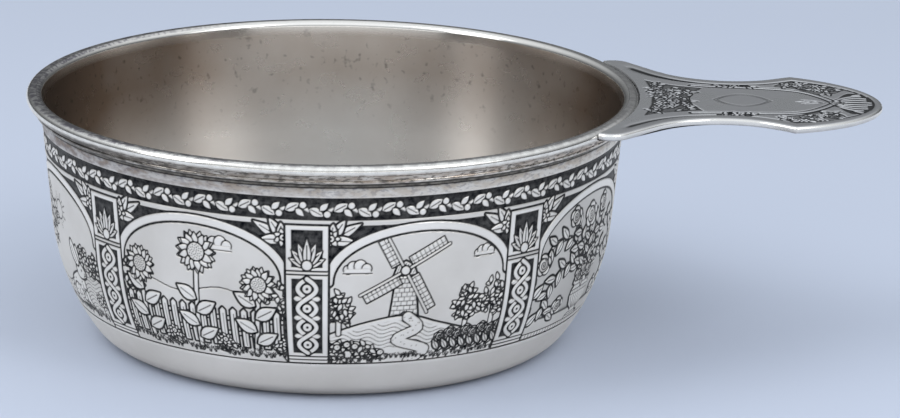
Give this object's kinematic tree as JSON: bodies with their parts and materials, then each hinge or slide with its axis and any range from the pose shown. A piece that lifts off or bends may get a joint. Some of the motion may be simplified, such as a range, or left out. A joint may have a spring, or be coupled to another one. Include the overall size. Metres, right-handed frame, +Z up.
{
  "type": "porringer",
  "caption": "Round silver bowl with a flat base, a moulded rim and one flat shaped handle level with the rim, for a child's soft food.",
  "frame": {"origin": "middle of the flat base, on the surface that the bowl stands on", "axes": "+Z up through the bowl, +X from the bowl's axis along the handle to its tip"},
  "size_m": [0.1771, 0.127, 0.0519],
  "materials": {
    "bowl_silver": "satin sterling silver, dark oxide in the cut ground of its decorated band",
    "rim_silver": "worn bright sterling silver",
    "handle_silver": "satin sterling silver, dark oxide in the struck ornament",
    "solder": "tarnished silver solder"
  },
  "bodies": {
    "root": {"bowl": "bowl_silver", "rim_wire": "rim_silver", "handle": "handle_silver", "rim_solder": "solder", "handle_solder": "solder"}
  },
  "joints": []
}
